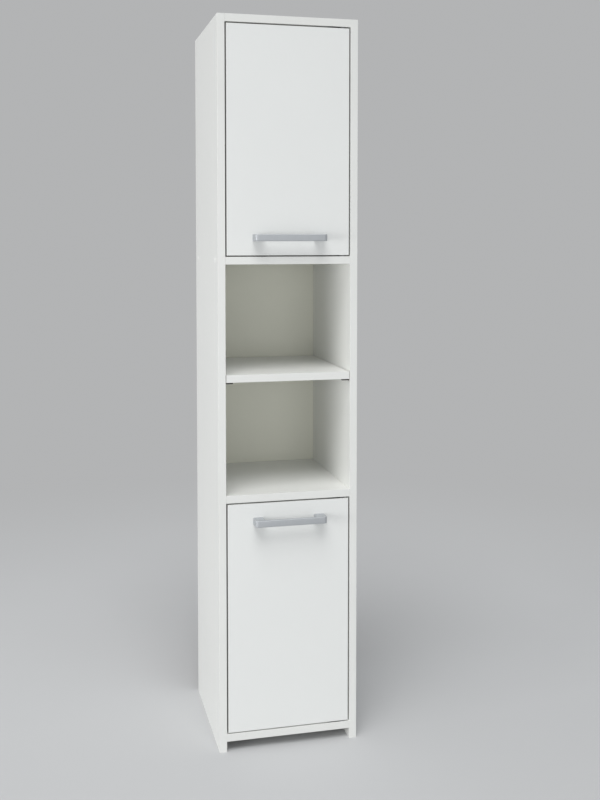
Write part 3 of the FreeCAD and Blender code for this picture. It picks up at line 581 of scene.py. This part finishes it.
def arc(centre, radius, start, end, points):
    """Points on an arc: centre plus radius times the cosine and sine of evenly spaced angles."""
    turn = np.radians(np.linspace(start, end, points))
    return np.stack([centre[0] + radius * np.cos(turn), centre[1] + radius * np.sin(turn)], -1)


def bow_outline(length, reach):
    """A bow handle from above, door side at 0: square feet, rounded bends, straight bar.

    The outline is two feet joined by four quarter arcs, of the outer radius at the bar's two
    front corners and of the inner radius where the legs meet the bar.
    """
    half, inside, under = length / 2, length / 2 - LEG_WIDTH, reach - BAR_THICKNESS
    outer, inner = OUTER_BEND, INNER_BEND
    return np.concatenate([
        [[half, 0.0]],
        arc((half - outer, reach - outer), outer, 0, 90, OUTER_BEND_POINTS),
        arc((outer - half, reach - outer), outer, 90, 180, OUTER_BEND_POINTS),
        [[-half, 0.0], [-inside, 0.0]],
        arc((-inside + inner, under - inner), inner, 180, 90, INNER_BEND_POINTS),
        arc((inside - inner, under - inner), inner, 90, 0, INNER_BEND_POINTS),
        [[inside, 0.0]],
    ])


def mitred(outline):
    """For each corner of a closed outline, the step that moves both its edges in by one.

    With unit edge normals n and m, the step is (n + m) / (1 + n.m).
    """
    ahead = np.roll(outline, -1, axis=0) - outline
    ahead /= np.linalg.norm(ahead, axis=1, keepdims=True)
    normal = np.stack([-ahead[:, 1], ahead[:, 0]], -1)
    before = np.roll(normal, 1, axis=0)
    return (normal + before) / (1 + (normal * before).sum(1, keepdims=True))


def soft_slab(outline, thickness, edge):
    """Rings of a slab whose outline is drawn in by a quarter round at both rims.

    At angle t of the quarter round the ring is drawn in by edge (1 - cos t), and stands at
    half the thickness, less the edge, plus edge sin t. The flat faces have one more ring, drawn
    in further. Points on the door's plane, at 0, keep to it.
    """
    turn = np.radians(np.linspace(0, 90, EDGE_POINTS))
    inset = np.concatenate([[edge * FACE_RING_INSET], (edge * (1 - np.cos(turn)))[::-1]])
    rise = np.concatenate([[thickness / 2], (thickness / 2 - edge + edge * np.sin(turn))[::-1]])
    inset = np.concatenate([inset, inset[::-1]])
    rise = np.concatenate([rise, -rise[::-1]])
    flat = outline[None] + mitred(outline)[None] * inset[:, None, None]
    on_door = np.isclose(outline[:, 1], 0.0)
    flat[:, on_door, 1] = 0.0
    height = np.broadcast_to(rise[:, None, None], (*flat.shape[:2], 1))
    return np.concatenate([flat, height], -1)


def domed_disc(centre, outward, radius, height, rise):
    """Rings of a cover cap: a straight rim and a shallow dome that meets it in a small round.

    The dome's height over its rim is rise times one less the square of the radius' share.
    """
    share = np.array(CAP_RING_SHARES)
    level = height - rise + rise * (1 - share ** 2)
    level[0] = 0.0
    level[1] = height - rise - CAP_RIM_ROUND
    turn = np.linspace(0, 2 * math.pi, CAP_SPOKES, endpoint=False)
    around = np.stack([np.zeros_like(turn), np.cos(turn), np.sin(turn)], -1)
    along = np.array([outward, 0.0, 0.0])
    return (np.array(centre) + radius * share[:, None, None] * around[None]
            + level[:, None, None] * along)


def softened_copy(node, width):
    """A merged copy of a CAD node with a narrow round on its sharp edges."""
    source = frame["nodes"][node]
    mesh = source.data.copy()
    mesh.name = f"{node}_softened"
    work = bmesh.new()
    work.from_mesh(mesh)
    bmesh.ops.remove_doubles(work, verts=work.verts, dist=MERGE_DISTANCE)
    bmesh.ops.dissolve_limit(work, angle_limit=FLAT_ANGLE, verts=work.verts, edges=work.edges)
    bmesh.ops.recalc_face_normals(work, faces=work.faces)
    work.to_mesh(mesh)
    work.free()
    mesh.shade_smooth()
    mesh.set_sharp_from_angle(angle=FITTING_SMOOTH_ANGLE)
    piece = put_in_scene(mesh.name, mesh)
    round_off = piece.modifiers.new("Narrow round", "BEVEL")
    round_off.width = width
    round_off.segments = 2
    round_off.limit_method = "ANGLE"
    round_off.angle_limit = FITTING_ROUND_ANGLE
    return piece


# Operators ----------------------------------------------------------------------------------


class CABINET_OT_finish_boards(bpy.types.Operator):
    """Give the carcass boards, shelves and doors their melamine, strips and bare core"""

    bl_idname = "cabinet.finish_boards"
    bl_label = "Finish boards and doors"

    def execute(self, context):
        look = context.scene.board_finish
        for name in BOARDS:
            upright = name.endswith("side_panel")
            strips = [(Y, LOW), (Z, HIGH)] if upright else [(Y, LOW)]
            dress(frame["nodes"][name],
                  board_finish(f"{name}_melamine", look.melamine, look, X if upright else Z,
                               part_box(name), strips))
        for name in DOORS:
            # The doors take the darker copy of the melamine, which is painted shade.
            strips = [(X, LOW), (X, HIGH), (Z, LOW), (Z, HIGH)]
            dress(frame["nodes"][name],
                  board_finish(f"{name}_melamine", look.shaded_door_face, look, Y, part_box(name), strips))
        return {"FINISHED"}


class CABINET_OT_finish_back(bpy.types.Operator):
    """Give the back sheet its lacquered front and bare rear"""

    bl_idname = "cabinet.finish_back"
    bl_label = "Finish back sheet"

    def execute(self, context):
        dress(frame["nodes"]["back_panel"],
              back_sheet_finish(context.scene.board_finish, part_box("back_panel")))
        return {"FINISHED"}


class CABINET_OT_build_handles(bpy.types.Operator):
    """Build the two bow handles with soft edges and satin silver"""

    bl_idname = "cabinet.build_handles"
    bl_label = "Build bow handles"

    def execute(self, context):
        look = context.scene.fitting_finish
        material = satin_silver(look)
        for node in HANDLES:
            low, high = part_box(node)
            outline = bow_outline(high.x - low.x, high.y - low.y)
            rings = soft_slab(outline, high.z - low.z, look.handle_edge)
            rings = np.stack([rings[..., 0] + (low.x + high.x) / 2, high.y - rings[..., 1],
                              rings[..., 2] + (low.z + high.z) / 2], -1)
            piece = ringed_mesh(f"{node}_bow", rings)
            stands_for(dress(piece, material), node)
        return {"FINISHED"}


class CABINET_OT_build_caps(bpy.types.Operator):
    """Build the domed cover caps over the upper divider's screws"""

    bl_idname = "cabinet.build_caps"
    bl_label = "Build cover caps"

    def execute(self, context):
        look = context.scene.fitting_finish
        low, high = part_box("screw_caps")
        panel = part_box("left_side_panel")
        height = panel[LOW].x - low.x
        radius = (high.z - low.z) / 2
        middle = (low.z + high.z) / 2
        caps = []
        for outward in (-1, 1):
            face = panel[LOW].x if outward < 0 else -panel[LOW].x
            for depth in (low.y + radius, high.y - radius):
                rings = domed_disc((face, depth, middle), outward, radius, height, look.cap_rise)
                caps.append(ringed_mesh("cap", rings))
        work = bmesh.new()
        for cap in caps:
            work.from_mesh(cap.data)
            bpy.data.objects.remove(cap)
        mesh = bpy.data.meshes.new("screw_caps_domed")
        work.to_mesh(mesh)
        work.free()
        mesh.set_sharp_from_angle(angle=NEW_PIECE_SMOOTH_ANGLE)
        piece = put_in_scene("screw_caps_domed", mesh)
        plastic = moulded("cover_cap_plastic", look.plastic, roughness=0.34, grain=900.0)
        stands_for(dress(piece, plastic), "screw_caps")
        return {"FINISHED"}


class CABINET_OT_finish_fittings(bpy.types.Operator):
    """Finish the pivots, pins, screws, nails, cams, dowels, catches and wall bracket"""

    bl_idname = "cabinet.finish_fittings"
    bl_label = "Finish fittings"

    def execute(self, context):
        look = context.scene.fitting_finish
        nodes = frame["nodes"]
        steel = plated_steel(look)
        for name in STEEL_FITTINGS:
            dress(nodes[name], steel)
        dark_steel = burnished_steel(look)
        for name in FLAT_FITTINGS + SHELF_PINS:
            piece = softened_copy(name, look.fitting_edge)
            dress(piece, dark_steel if name in SHELF_PINS else steel)
            stands_for(piece, name)
        housing_edge = 2 * look.fitting_edge
        housing = moulded("catch_housing_plastic", look.plastic, roughness=0.36, grain=700.0)
        ferrite = cast_ferrite(look)
        nylon = moulded("washer_nylon", look.nylon, roughness=0.5, grain=1200.0)
        for door in ("upper", "lower"):
            name = f"{door}_catch_housing"
            piece = dress(softened_copy(name, housing_edge), housing)
            stands_for(piece, name)
            dress(nodes[f"{door}_catch_magnet"], ferrite)
            dress(nodes[f"{door}_pivot_washers"], nylon)
        dress(nodes["cam_discs"], cast_zinc(look))
        dress(nodes["dowels"], beech_dowels(look))
        return {"FINISHED"}


class CABINET_OT_build_studio(bpy.types.Operator):
    """Lay the floor, hang the lamps, set the sky and place the camera"""

    bl_idname = "cabinet.build_studio"
    bl_label = "Build studio"

    def execute(self, context):
        setup = context.scene.studio_setup
        lay_floor(setup)
        set_sky(context.scene, setup)
        hang_key("key_lamp", KEY_FROM, setup.key_strength, setup.key_spread)
        hang_panel("front_lamp", FRONT_LAMP_PLACE, FRONT_LAMP_SIZE, setup.front_power)
        hang_panel("side_lamp", SIDE_LAMP_PLACE, SIDE_LAMP_SIZE, setup.side_power)
        place_camera(context.scene, setup)
        return {"FINISHED"}


def lay_floor(setup):
    """A round floor that fades into the backdrop.

    Its points are each ring's radius times the cosine and sine of evenly spaced turns.
    """
    turn = np.linspace(0, 2 * math.pi, FLOOR_SPOKES, endpoint=False)
    radius = np.array(FLOOR_RING_RADII)
    points = np.stack([radius[:, None] * np.cos(turn), radius[:, None] * np.sin(turn),
                       np.zeros((len(radius), len(turn)))], -1)
    index, quads = joined_rings(points)
    facing_up = quads[:, [0, 3, 2, 1]].tolist()
    mesh = bpy.data.meshes.new("studio_floor")
    mesh.from_pydata(points.reshape(-1, 3).tolist(), [], facing_up + [index[0].tolist()])
    floor = put_in_scene("studio_floor", mesh)
    finish = Finish("studio_floor")
    colour = toned(finish, setup.floor, scale=1.2, depth=0.02)
    finish.relief(finish.noise(scale=260.0, detail=3.0), distance=0.0001)
    finish.finish(colour, roughness=0.72, specular=0.25)
    length = finish.add("ShaderNodeVectorMath", operation="LENGTH")
    finish.feed(length.inputs[0], finish.place)
    far = finish.ramp(length.outputs["Value"], FADE_START, FADE_END)
    glow = finish.add("ShaderNodeEmission")
    finish.feed(glow.inputs["Color"], setup.backdrop)
    mixed = finish.add("ShaderNodeMixShader")
    finish.feed(mixed.inputs[0], finish.math("MULTIPLY", far, seen_ray(finish)))
    finish.feed(mixed.inputs[1], finish.shader.outputs[0])
    finish.feed(mixed.inputs[2], glow.outputs[0])
    finish.feed(finish.nodes["Material Output"].inputs["Surface"], mixed.outputs[0])
    dress(floor, finish.material)
    floor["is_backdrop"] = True


def seen_ray(finish):
    """One for rays that show the backdrop: the camera's, and those in gloss and glass."""
    path = finish.add("ShaderNodeLightPath").outputs
    seen = finish.math("MAXIMUM", path["Is Camera Ray"], path["Is Glossy Ray"])
    return finish.math("MAXIMUM", seen, path["Is Transmission Ray"])


def set_sky(scene, setup):
    """Soft light from all round, and the backdrop's colour where the camera sees the sky."""
    world = bpy.data.worlds.new("studio_sky")
    world.use_nodes = True
    scene.world = world
    nodes, links = world.node_tree.nodes, world.node_tree.links
    light = nodes["Background"]
    light.inputs["Color"].default_value = (*setup.sky, 1.0)
    light.inputs["Strength"].default_value = setup.sky_strength
    seen = nodes.new("ShaderNodeBackground")
    seen.inputs["Color"].default_value = (*setup.backdrop, 1.0)
    path = nodes.new("ShaderNodeLightPath").outputs
    total = path["Is Camera Ray"]
    for name in ("Is Glossy Ray", "Is Transmission Ray"):
        larger = nodes.new("ShaderNodeMath")
        larger.operation = "MAXIMUM"
        links.new(total, larger.inputs[0])
        links.new(path[name], larger.inputs[1])
        total = larger.outputs[0]
    mixed = nodes.new("ShaderNodeMixShader")
    links.new(total, mixed.inputs[0])
    links.new(light.outputs[0], mixed.inputs[1])
    links.new(seen.outputs[0], mixed.inputs[2])
    links.new(mixed.outputs[0], nodes["World Output"].inputs["Surface"])
    scene.view_settings.view_transform = "Standard"


def hang_key(name, way, strength, spread):
    """A far soft lamp whose light comes along one way, the same at every height."""
    lamp = bpy.data.lights.new(name, "SUN")
    lamp.energy = strength
    lamp.angle = spread
    hang(name, lamp, way, Vector())


def hang_panel(name, place, size, power):
    """A rectangular soft lamp that faces the middle of the cabinet."""
    lamp = bpy.data.lights.new(name, "AREA")
    lamp.shape = "RECTANGLE"
    lamp.size, lamp.size_y = size
    lamp.energy = power
    hang(name, lamp, place, sum(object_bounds(), Vector()) / 2)


def hang(name, lamp, place, target):
    """Places a lamp so that it faces a point; the camera doesn't see the lamp itself."""
    holder = bpy.data.objects.new(name, lamp)
    holder.location = place
    holder.rotation_euler = (target - Vector(place)).to_track_quat("-Z", "Y").to_euler()
    holder.visible_camera = False
    bpy.context.scene.collection.objects.link(holder)


def place_camera(scene, setup):
    """The photograph's viewing angle: turned to the right, dipped a little, lens shifted."""
    camera = bpy.data.cameras.new("view")
    camera.lens = setup.focal_length
    camera.sensor_width = SENSOR_WIDTH
    camera.shift_y = setup.camera_shift
    holder = bpy.data.objects.new("view", camera)
    holder.matrix_world = (
        Matrix.Translation(setup.camera_place)
        @ Matrix.Rotation(-setup.camera_turn, 4, "Z")
        @ Matrix.Rotation(math.pi / 2 - setup.camera_dip, 4, "X")
    )
    scene.collection.objects.link(holder)
    scene.camera = holder


class CABINET_PT_panel(bpy.types.Panel):
    """Lists the steps that dress the cabinet"""

    bl_idname = "CABINET_PT_panel"
    bl_label = "Tall cabinet"
    bl_space_type = "VIEW_3D"
    bl_region_type = "UI"
    bl_category = "Cabinet"

    def draw(self, context):
        """A button for each step, then a box of values for each group."""
        for step in STEPS:
            self.layout.operator(step.bl_idname)
        for group in ("board_finish", "fitting_finish", "studio_setup"):
            box = self.layout.box()
            settings = getattr(context.scene, group)
            for name in settings.__annotations__:
                box.prop(settings, name)


STEPS = (
    CABINET_OT_finish_boards,
    CABINET_OT_finish_back,
    CABINET_OT_build_handles,
    CABINET_OT_build_caps,
    CABINET_OT_finish_fittings,
    CABINET_OT_build_studio,
)
CLASSES = (BoardFinish, FittingFinish, StudioSetup, *STEPS, CABINET_PT_panel)


def register():
    """Makes the classes and their values known to Blender."""
    for cls in CLASSES:
        bpy.utils.register_class(cls)
    bpy.types.Scene.board_finish = PointerProperty(type=BoardFinish)
    bpy.types.Scene.fitting_finish = PointerProperty(type=FittingFinish)
    bpy.types.Scene.studio_setup = PointerProperty(type=StudioSetup)


def unregister():
    """Takes the values and classes away again, in the opposite order."""
    del bpy.types.Scene.studio_setup
    del bpy.types.Scene.fitting_finish
    del bpy.types.Scene.board_finish
    for cls in reversed(CLASSES):
        bpy.utils.unregister_class(cls)


def main():
    """Registers the classes and runs the steps in order."""
    register()
    bpy.ops.cabinet.finish_boards()
    bpy.ops.cabinet.finish_back()
    bpy.ops.cabinet.build_handles()
    bpy.ops.cabinet.build_caps()
    bpy.ops.cabinet.finish_fittings()
    bpy.ops.cabinet.build_studio()


if __name__ == "__main__":
    main()
